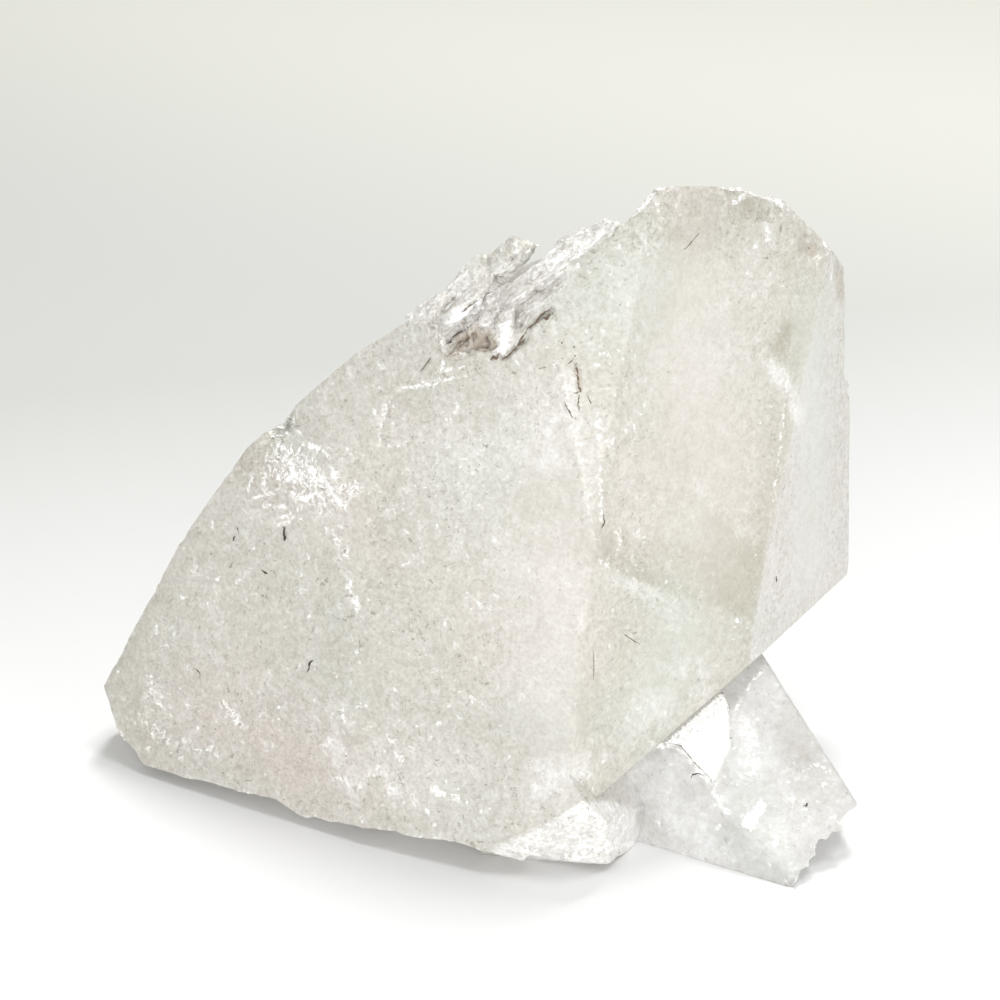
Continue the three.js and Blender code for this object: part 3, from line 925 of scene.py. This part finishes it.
# %% Cut the cracks and wear the corners
CUTS = (
    # reach and depth in mm, the places
    (0.45, 0.45, (552, 310), (539, 317), (529, 327), (526, 339), (516, 348), (504, 358)),
    (0.50, 0.50, (448, 345), (458, 333), (466, 329)),
    (1.50, 0.70, (464, 348), (480, 341)),
    (0.40, 0.35, (463, 312), (471, 305), (479, 300)),
    (0.30, 0.20, (576, 363), (579, 388)),
    (0.50, 0.15, (468, 376), (440, 382), (400, 390), (386, 404), (380, 428), (382, 446), (406, 446)),
)
WORN_CORNERS = (
    # reach and depth in mm, the places
    (4.5, 0.6, (651, 187), (645, 194)),
    (4.0, 0.5, (742, 187), (752, 193)),
    (1.2, 0.45, (794, 884)),
    (1.5, 0.9, (282, 424), (278, 433)),
    (1.0, 0.5, (266, 442), (276, 438)),
    (1.8, 0.4, (846, 381), (846, 394)),
)
cut = build_up(clean, (*CUTS, *WORN_CORNERS))
print("the deepest cut is", round(float(cut.max()), 2), "mm")

# %% Move the skin
SWELL, RIPPLE, GRIT = 0.06, 0.02, 0.08           # mm, on grown faces, and the grit on frosted ones
HACKLE_RISE, HACKLE_GROOVE = 0.22, 0.12          # mm, on breaks
SPLINTER_RISE, SPLINTER_GROOVE = 0.42, 0.34      # mm, on the ridge
RIDGE_SWELL = 0.25                               # mm, gives back what the smoothing took off
swell = SWELL * coarse + RIPPLE * medium
hackle = HACKLE_RISE * clouds(1.9, 21.0, 4) - HACKLE_GROOVE * np.abs(clouds(0.95, 31.0, 2))
splinters = (SPLINTER_RISE * clouds(1.1, 51.0, 3, stretched)
             - SPLINTER_GROOVE * np.abs(clouds(0.5, 61.0, 3, stretched)))
rough_relief = on_ridge * (splinters + RIDGE_SWELL) + (1 - on_ridge) * hackle
grit = GRIT * clouds(0.6, 41.0, 2)
height = (1 - broken) * swell + broken * rough_relief + frost_and_highlights * grit * (1 - polish) - wear - cut
height = np.where(polish > 0, 0.0, height)
height = np.where(on_floor > 0.99, np.minimum(height, 0) * 0.8, height * (1 - on_floor))
skin_points = points + normals * height[:, None]
skin_points[:, 2] = np.maximum(skin_points[:, 2], 0.0)
UNDERCUT = 1.3        # mm, how far the foot is lifted off the floor at the left, where it throws a shadow
FOOT_REACH, FOOT_FADE = 5.76, 3.6     # mm, where the lift ends, and over what length it fades
foot = line_on_stone((148, 770), (190, 773), (225, 785), (256, 799))
foot[:, 2] = 0.0
skin_points[:, 2] += UNDERCUT * np.clip((FOOT_REACH - distance_to_line(foot, points)) / FOOT_FADE, 0, 1)
print("relief from", round(float(height.min()), 2), "to", round(float(height.max()), 2), "mm")

# %% Make the skin a piece
SHARP = math.radians(28)


def make_piece(name, places, faces, material, body="root"):
    """A mesh object from places in millimetres, with its material, riding on a body."""
    mesh = bpy.data.meshes.new(name)
    mesh.from_pydata((np.asarray(places) * MM).tolist(), [], [list(map(int, f)) for f in faces])
    mesh.update()
    mesh.materials.append(material)
    piece = bpy.data.objects.new(name, mesh)
    scene.collection.objects.link(piece)
    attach(piece, body)
    print(name, "has", len(mesh.polygons), "faces")
    return piece


quartz, tree, output = new_material("milky_quartz_with_painted_light")
stone = make_piece("quartz_skin", skin_points, triangles, quartz)
MASKS = {"frost_and_highlights": frost_and_highlights, "veil_and_painted_light": veil_and_painted_light, "clear": clear, "tone_and_painted_light": tone_and_painted_light, "tint": tint, "rust": rust,
         "clay_and_painted_shade": clay_and_painted_shade, "broken": broken, "polish": polish, "ridge": broken * on_ridge,
         "speckled": speckled}
for label, values in MASKS.items():
    layer = stone.data.attributes.new(label, "FLOAT", "POINT")
    layer.data.foreach_set("value", values.astype(np.float32))
stone.data.polygons.foreach_set("use_smooth", broken[triangles].mean(1) < 0.6)
stone.data.set_sharp_from_angle(angle=SHARP)
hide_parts("quartz_cluster")

# %% [markdown]
# ## Milky quartz
# Quartz is clear, with an index of 1.544. It is milky where it grew fast and trapped a fog of tiny
# bubbles of brine. The eye sees three things at once: a satin sheen off the face, light that comes
# through, and the soft glow of the fog. So the shader lets part of the light through a rough
# surface, and keeps the rest as a matt body colour. The stone takes a little out of what passes,
# most of it blue, which is why thick places look darker and warmer.

# %% Read the masks and make the noises of the quartz
place = add_node(tree, "TexCoord", out="Object")
mask = {label: add_node(tree, "Attribute", out="Fac", attribute_name=label) for label in MASKS}
NOISES = {
    # the size of a lump in mm, the detail, the roughness and the distortion
    "grain": (0.36, 2.0, 0.7, 0.0),       # crushed grains, which break the border of frost and veils
    "fleck": (0.42, 2.0, 0.65, 0.0),      # tiny bubbles, really 0.05 to 0.2 mm, drawn coarser to show
    "dot": (0.75, 3.0, 0.75, 0.0),        # specks of white or of dirt
    "net": (1.1, 2.0, 0.6, 0.6),          # the mesh of fine white threads in crushed quartz
    "mottle": (1.2, 3.0, 0.7, 0.0),       # patches of denser and thinner fog
    "strand": (2.6, 3.0, 0.65, 0.8),      # healed cracks and scratches, short dark or white hairs
}
grain, fleck, dot, net, mottle, strand = (
    add_node(tree, "TexNoise", Vector=place, Scale=1 / (size * MM), Detail=detail, Roughness=roughness,
             Distortion=distortion) for size, detail, roughness, distortion in NOISES.values())
SUGAR = 0.4 * MM       # crushed grains on breaks and frost
sugar = add_node(tree, "TexVoronoi", Vector=place, Scale=1 / SUGAR)

# The splinters of the ridge: the same kind of noise, drawn out along the ridge
SPLINTER = 0.38 * MM   # their width
along = add_node(tree, "VectorMath", operation="DOT_PRODUCT", in0=place, in1=tuple(ridge_way))
taken = add_node(tree, "VectorMath", operation="SCALE", in0=tuple(ridge_way * STRETCH), Scale=along)
drawn_out = add_node(tree, "VectorMath", operation="SUBTRACT", in0=place, in1=taken)
splinter = add_node(tree, "TexNoise", Vector=drawn_out, Scale=1 / SPLINTER, Detail=2.0, Roughness=0.7)
grain = add_node(tree, "Mix", data_type="FLOAT", in0=mask["ridge"], in2=grain, in3=splinter)

# %% Break the frost into grains and threads, and the veils into grains
raised = add_node(tree, "Math", operation="MULTIPLY_ADD", in0=grain, in1=2.2, in2=mask["frost_and_highlights"])
grains = add_node(tree, "MapRange", Value=raised, From_Min=1.56, From_Max=2.0, To_Max=0.92)
off_line = add_node(tree, "Math", operation="SUBTRACT", in0=net, in1=0.5)
off_line = add_node(tree, "Math", operation="ABSOLUTE", in0=off_line)
thread = add_node(tree, "MapRange", Value=off_line, From_Min=0.010, From_Max=0.030, To_Min=1.0, To_Max=0.0)
thread_here = add_node(tree, "MapRange", Value=mask["frost_and_highlights"], From_Min=0.08, From_Max=0.30)
threads = add_node(tree, "Math", operation="MULTIPLY", in0=thread, in1=thread_here)
off_ridge = add_node(tree, "Math", operation="SUBTRACT", in0=1.0, in1=mask["ridge"])
threads = add_node(tree, "Math", operation="MULTIPLY", in0=threads, in1=off_ridge)
raised = add_node(tree, "Math", operation="MULTIPLY_ADD", in0=grain, in1=1.2, in2=mask["veil_and_painted_light"])
veil_and_light_share = add_node(tree, "MapRange", Value=raised, From_Min=0.85, From_Max=1.6, To_Max=0.7)

# %% Find the hairs, scratches, painted shade in the gaps, and specks
# Fog softens the small contrasts, so the quiet parts get less of them, and the clear crystal more.
contrast = add_node(tree, "Math", operation="MULTIPLY_ADD", in0=mask["speckled"], in1=0.6, in2=0.4)
contrast = add_node(tree, "Math", operation="MULTIPLY_ADD", use_clamp=True, in0=mask["clear"], in1=0.5,
                    in2=contrast)
hair = add_node(tree, "Math", operation="COMPARE", in0=strand, in1=0.5, in2=0.007)
hair_here = add_node(tree, "MapRange", Value=dot, From_Min=0.49, From_Max=0.44, To_Max=0.7)
hair = add_node(tree, "Math", operation="MULTIPLY", in0=hair, in1=hair_here)
scratch = add_node(tree, "Math", operation="COMPARE", in0=strand, in1=0.58, in2=0.008)
scratch_here = add_node(tree, "MapRange", Value=mottle, From_Min=0.52, From_Max=0.6, To_Max=0.7)
scratch = add_node(tree, "Math", operation="MULTIPLY", in0=scratch, in1=scratch_here)
dirt = add_node(tree, "MapRange", Value=dot, From_Min=0.36, From_Max=0.29, To_Max=0.7)
hairs, scratches, dirt = (add_node(tree, "Math", operation="MULTIPLY", in0=mark, in1=mask["speckled"])
                          for mark in (hair, scratch, dirt))
# Painted shade: the hollows between the ridge's splinters are darkened to grey.
painted_shade_in_gaps = add_node(tree, "MapRange", Value=splinter, From_Min=0.44, From_Max=0.36, To_Max=0.30)
painted_shade_in_gaps = add_node(tree, "Math", operation="MULTIPLY", in0=painted_shade_in_gaps, in1=mask["ridge"])
white_dots = add_node(tree, "MapRange", Value=dot, From_Min=0.62, From_Max=0.69, To_Max=0.75)
white_dots = add_node(tree, "Math", operation="MULTIPLY", in0=white_dots, in1=contrast)
frost_and_highlight_share = grains
for white_marks in (threads, scratches, white_dots):
    frost_and_highlight_share = add_node(tree, "Math", operation="MAXIMUM", in0=frost_and_highlight_share, in1=white_marks)

# %% Mix the colour of the quartz
# Light that bounces inside the stone takes on its colour each time, so the colours are all pale.
WHITE = linear("FFFFFF")
DARK_STONE_AND_SHADE, PALE_STONE_AND_LIGHT = linear("D8D6CB"), linear("FFFFFE")
GREEN_TINT, PINK_TINT = linear("F6FAF5"), linear("FFF8F5")
BUBBLE_DARK, THIN_FOG, CLEAR_STONE = linear("E8E7E5"), linear("F1F0EE"), linear("F7F8F9")
HAIR_BROWN, GAP_SHADE_GREY, SPECK_DIRT = linear("8E897B"), linear("ADA7A4"), linear("A79E92")
RUST_BROWN, CLAY_AND_SHADE_BROWN = linear("8D7A5C"), linear("5B5046")

body = add_node(tree, "Mix", data_type="RGBA", in0=mask["tone_and_painted_light"], in6=DARK_STONE_AND_SHADE, in7=PALE_STONE_AND_LIGHT)
tinted = add_node(tree, "Mix", data_type="RGBA", in0=mask["tint"], in6=GREEN_TINT, in7=PINK_TINT)
body = add_node(tree, "Mix", data_type="RGBA", blend_type="MULTIPLY", in0=1.0, in6=body, in7=tinted)
body = add_node(tree, "Mix", data_type="RGBA", in0=veil_and_light_share, in6=body, in7=WHITE)
fleck_share = add_node(tree, "MapRange", Value=fleck, From_Min=0.36, From_Max=0.64)
flecks = add_node(tree, "Mix", data_type="RGBA", in0=fleck_share, in6=BUBBLE_DARK, in7=WHITE)
body = add_node(tree, "Mix", data_type="RGBA", blend_type="MULTIPLY", in0=contrast, in6=body, in7=flecks)
neutral = add_node(tree, "Math", operation="MULTIPLY", in0=mask["clear"], in1=0.55)
body = add_node(tree, "Mix", data_type="RGBA", in0=neutral, in6=body, in7=CLEAR_STONE)
fog_share = add_node(tree, "MapRange", Value=mottle, From_Min=0.36, From_Max=0.62)
fog = add_node(tree, "Mix", data_type="RGBA", in0=fog_share, in6=THIN_FOG, in7=WHITE)
body = add_node(tree, "Mix", data_type="RGBA", blend_type="MULTIPLY", in0=contrast, in6=body, in7=fog)
for share, colour in ((hairs, HAIR_BROWN), (painted_shade_in_gaps, GAP_SHADE_GREY), (dirt, SPECK_DIRT), (frost_and_highlight_share, WHITE),
                      (mask["rust"], RUST_BROWN), (mask["clay_and_painted_shade"], CLAY_AND_SHADE_BROWN)):
    body = add_node(tree, "Mix", data_type="RGBA", in0=share, in6=body, in7=colour)

# %% Set how much light goes through and how rough the face is
LET_THROUGH = 0.38      # of the light, on plain milky stone
through = add_node(tree, "Math", operation="MULTIPLY_ADD", in0=mask["clear"], in1=0.12, in2=LET_THROUGH)
through = add_node(tree, "Math", operation="MULTIPLY_ADD", in0=veil_and_light_share, in1=-0.25, in2=through)
through = add_node(tree, "Math", operation="MULTIPLY_ADD", in0=frost_and_highlight_share, in1=-0.45, in2=through)
# A thin wash of rust lets the light through, and only a thick layer of clay and painted shade stops it.
dirt_and_painted_shade = add_node(tree, "Math", operation="ADD", in0=mask["rust"], in1=mask["clay_and_painted_shade"])
thick_dirt_and_shade = add_node(tree, "MapRange", Value=dirt_and_painted_shade, From_Min=0.3, From_Max=0.9)
through = add_node(tree, "Math", operation="SUBTRACT", use_clamp=True, in0=through, in1=thick_dirt_and_shade)

SATIN, POLISHED = 0.36, 0.04      # roughness of a face that grew, and of a mirror-smooth one
rough = add_node(tree, "Math", operation="MULTIPLY_ADD", in0=frost_and_highlight_share, in1=0.25, in2=SATIN)
rough = add_node(tree, "Math", operation="MULTIPLY_ADD", in0=dirt_and_painted_shade, in1=0.4, in2=rough)
rough = add_node(tree, "Mix", data_type="FLOAT", in0=mask["polish"], in2=rough, in3=POLISHED)

PIT_DEPTH = 0.06 * MM
unpolished = add_node(tree, "Math", operation="SUBTRACT", in0=1.0, in1=mask["polish"])
pits = add_node(tree, "Mix", data_type="FLOAT", in0=mask["ridge"], in2=fleck, in3=splinter)
pits = add_node(tree, "Math", operation="MULTIPLY", in0=pits, in1=unpolished)
pitted = add_node(tree, "Bump", Strength=0.4, Distance=PIT_DEPTH, Height=pits)
sugary = add_node(tree, "Math", operation="MAXIMUM", in0=mask["frost_and_highlights"], in1=mask["broken"])
sugary = add_node(tree, "Math", operation="MULTIPLY", in0=sugar, in1=sugary)
sugared = add_node(tree, "Bump", Strength=0.6, Distance=PIT_DEPTH, Normal=pitted, Height=sugary)

# The skin is satin, with the index of quartz. What passes loses a little light, most of it blue.
shader = add_node(tree, "BsdfPrincipled", Base_Color=body, Roughness=rough, IOR=1.544,
                  Transmission_Weight=through, Normal=sugared)
absorbed = add_node(tree, "VolumeAbsorption", Color=linear("F0F0EB"), Density=2.5)
tree.links.new(shader, output.inputs["Surface"])
tree.links.new(absorbed, output.inputs["Volume"])
print("milky quartz uses", len(tree.nodes), "nodes")

# %% [markdown]
# ## Clay and painted shade in the sharpest cracks
# The cracks beside the ridge are so fine and dark that the skin can't carry them. Part of that dark is
# clay and part is painted shade, which the translucent stone doesn't cast there. They are made as
# thin flat threads that lie in the skin, thickest in the middle, with a little swelling and
# narrowing along them.

# %% Lay threads along the skin
skin_tree = BVHTree.FromPolygons([Vector(p) * MM for p in skin_points], triangles.tolist())
THREAD_STEP = 1.6     # thousandths of the view between two rings of a thread
RING = 6              # points in a ring
BLUNT = 0.06          # how far from a sharp point the ends stay, as a share of the thread
FULLNESS = 0.6        # below 1 keeps the thread thick nearly to its ends
THIN, THICK = 0.35, 1.25      # of the width, the least and the most of its swelling
WANDER = 0.4          # of the width, how far the middle strays to the sides


def lay_thread(view_places, width, thickness, lift):
    """The points and faces of a closed thread on the skin through the places, tapered to its ends.
    Its middle lies lift above the skin. All lengths are in millimetres."""
    corners = np.array(view_places, float)
    so_far = np.concatenate([[0], np.cumsum(np.linalg.norm(np.diff(corners, axis=0), axis=1))])
    at = np.linspace(0, so_far[-1], max(4, int(so_far[-1] / THREAD_STEP)))
    path = [(np.interp(a, so_far, corners[:, 0]), np.interp(a, so_far, corners[:, 1])) for a in at]
    middles = np.array([on_stone(*spot, skin_tree)[0] for spot in path])
    normals_here = np.array([on_stone(*spot)[1] for spot in path])
    ways = np.gradient(middles, axis=0)
    sides = np.cross(normals_here, ways)
    sides /= np.linalg.norm(sides, axis=1)[:, None]
    taper = np.sin(np.pi * np.linspace(BLUNT, 1 - BLUNT, len(at))) ** FULLNESS
    taper = taper * rng.uniform(THIN, THICK, len(at))
    middles = middles + sides * (rng.uniform(-WANDER, WANDER, len(at)) * width)[:, None]
    turn = np.arange(RING) * 2 * np.pi / RING
    rings = (middles[:, None] + normals_here[:, None] * lift
             + sides[:, None] * np.cos(turn)[None, :, None] * taper[:, None, None] * width / 2
             + normals_here[:, None] * np.sin(turn)[None, :, None] * taper[:, None, None] * thickness / 2)
    faces = [[k * RING + j, k * RING + (j + 1) % RING, (k + 1) * RING + (j + 1) % RING, (k + 1) * RING + j]
             for k in range(len(at) - 1) for j in range(RING)]
    last = (len(at) - 1) * RING
    return rings.reshape(-1, 3), faces + [list(range(RING))[::-1], [last + j for j in range(RING)]]


def join(parts):
    """Puts several (points, faces) into one."""
    places, faces = [], []
    for part_places, part_faces in parts:
        faces += [[corner + len(places) for corner in face] for face in part_faces]
        places += list(part_places)
    return places, faces


# %% Lay the clay and painted shade
CLAY_AND_SHADE_THREADS = (
    # width in mm, the places
    (0.20, (463, 312), (471, 305), (479, 300)),
    (0.34, (448, 345), (452, 338), (459, 332), (466, 329)),
    (0.26, (457, 349), (465, 342), (471, 335)),
    (0.30, (527, 328), (533, 325), (538, 321), (540, 315), (550, 309)),
    (0.20, (528, 328), (525, 334), (520, 339), (519, 344), (514, 349)),
    (0.34, (540, 319), (546, 318), (553, 313)),
    (0.40, (517, 345), (523, 340)),
    (0.34, (502, 359), (508, 357), (515, 348)),
    (0.36, (490, 359), (497, 357), (500, 354)),
    (0.34, (576, 363), (578, 377), (579, 388)),
    (0.22, (579, 386), (581, 391), (577, 393), (573, 392)),
    (0.14, (568, 364), (573, 360)),
    (0.16, (565, 402), (568, 409), (572, 418)),
    (0.16, (580, 395), (578, 401), (579, 411)),
    (0.13, (588, 395), (591, 404)),
    (0.13, (539, 369), (546, 367)),
    (0.22, (603, 514), (605, 521), (602, 529)),
    (0.12, (699, 233), (690, 244), (684, 250)),
    (0.13, (421, 371), (426, 364), (431, 358)),
    (0.10, (666, 743), (680, 745), (694, 762), (713, 781)),
    (0.10, (593, 650), (594, 665), (593, 680)),
)
clay_and_shade_dust, tree, output = new_material("dried_clay_rust_and_painted_crack_shade")
place = add_node(tree, "TexCoord", out="Object")
CLUMP = 0.5 * MM      # lumps of clay, matt and dusty, darker where they are damp with iron
clump = add_node(tree, "TexNoise", Vector=place, Scale=1 / CLUMP, Detail=3.0)
DAMP_CLAY, DRY_CLAY = linear("4A4038"), linear("857462")
colour = add_node(tree, "Mix", data_type="RGBA", in0=clump, in6=DAMP_CLAY, in7=DRY_CLAY)
dent = add_node(tree, "Bump", Strength=0.5, Distance=0.05 * MM, Height=clump)
shader = add_node(tree, "BsdfPrincipled", Base_Color=colour, Roughness=0.9, Normal=dent)
tree.links.new(shader, output.inputs["Surface"])

CLAY_THICKNESS, CLAY_LIFT = 0.10, 0.01
clay_and_shade_parts = [lay_thread(view_places, width, CLAY_THICKNESS, CLAY_LIFT)
              for width, *view_places in CLAY_AND_SHADE_THREADS]
make_piece("clay_and_painted_shade_in_cracks", *join(clay_and_shade_parts), clay_and_shade_dust)

# %% [markdown]
# ## Lint and dust
# A few dark fibres and specks lie on the stone, as on any stone that has been kept in a drawer. A
# fibre is a thin round thread that rests on the skin, and a speck is a squashed lump.

# %% Lay lint and dust
SQUASH = 0.45         # the height of a speck, as a share of its width
SMALL, LARGE = 0.7, 1.3       # of its size, how uneven a speck is


def lay_speck(view_place, size):
    """The points and faces of a squashed lump with eight faces, half sunk in the skin."""
    middle = on_stone(*view_place, skin_tree)[0]
    normal = on_stone(*view_place)[1]
    side = np.cross(normal, (0.3, 0.2, 1.0))
    side /= np.linalg.norm(side)
    axes = (side, np.cross(normal, side), normal * SQUASH)
    reach = rng.uniform(SMALL, LARGE, 6) * size / 2
    tips = [sign * axis for axis in axes for sign in (1, -1)]
    places = [middle + tip * length for tip, length in zip(tips, reach)]
    return places, [[0, 2, 4], [3, 0, 4], [1, 3, 4], [2, 1, 4], [2, 0, 5], [0, 3, 5], [3, 1, 5], [1, 2, 5]]


FIBRES = (
    # width in mm, the places
    (0.42, (284, 527), (285, 534), (285, 541)),
    (0.24, (313, 660), (310, 662), (309, 668), (308, 672)),
    (0.13, (196, 669), (200, 673), (200, 678)),
    (0.26, (262, 570), (265, 572), (268, 573)),
    (0.20, (235, 536), (233, 541)),
    (0.13, (691, 779), (692, 775), (698, 773), (703, 776)),
    (0.26, (804, 806), (808, 804)),
    (0.20, (776, 576), (776, 582)),
    (0.10, (624, 634), (632, 640), (640, 644)),
    (0.12, (237, 527), (239, 533)),
)
SPECKS = (
    # size in mm, the place
    (0.30, (722, 693)), (0.16, (346, 756)), (0.14, (248, 693)), (0.20, (574, 347)), (0.26, (562, 343)),
    (0.20, (575, 356)), (0.16, (809, 248)), (0.20, (439, 812)), (0.14, (765, 723)), (0.18, (731, 738)),
    (0.16, (237, 545)), (0.14, (202, 605)), (0.18, (513, 259)), (0.16, (495, 275)), (0.14, (475, 282)),
    (0.14, (310, 727)), (0.12, (233, 668)), (0.14, (381, 583)), (0.12, (620, 305)), (0.14, (552, 480)),
    (0.12, (446, 520)), (0.14, (640, 588)), (0.12, (700, 600)), (0.14, (790, 440)), (0.12, (498, 640)),
    (0.14, (420, 655)), (0.12, (386, 672)), (0.12, (560, 590)), (0.12, (668, 372)), (0.14, (604, 346)),
    (0.12, (727, 395)), (0.12, (470, 700)), (0.12, (530, 760)), (0.12, (615, 720)),
)
dark_lint, tree, output = new_material("dark_cotton_lint")
place = add_node(tree, "TexCoord", out="Object")
FIBRE_TWIST = 0.3 * MM      # cotton is matt and twisted, a little browner where light comes through
twist = add_node(tree, "TexNoise", Vector=place, Scale=1 / FIBRE_TWIST, Detail=2.0)
LINT_BLACK, LINT_BROWN = linear("1F1B18"), linear("54493F")
colour = add_node(tree, "Mix", data_type="RGBA", in0=twist, in6=LINT_BLACK, in7=LINT_BROWN)
shader = add_node(tree, "BsdfPrincipled", Base_Color=colour, Roughness=0.8)
tree.links.new(shader, output.inputs["Surface"])

lint_parts = [lay_thread(view_places, width, 0.7 * width, 0.25 * width) for width, *view_places in FIBRES]
lint_parts += [lay_speck(view_place, size) for size, view_place in SPECKS]
make_piece("lint_and_dust", *join(lint_parts), dark_lint)
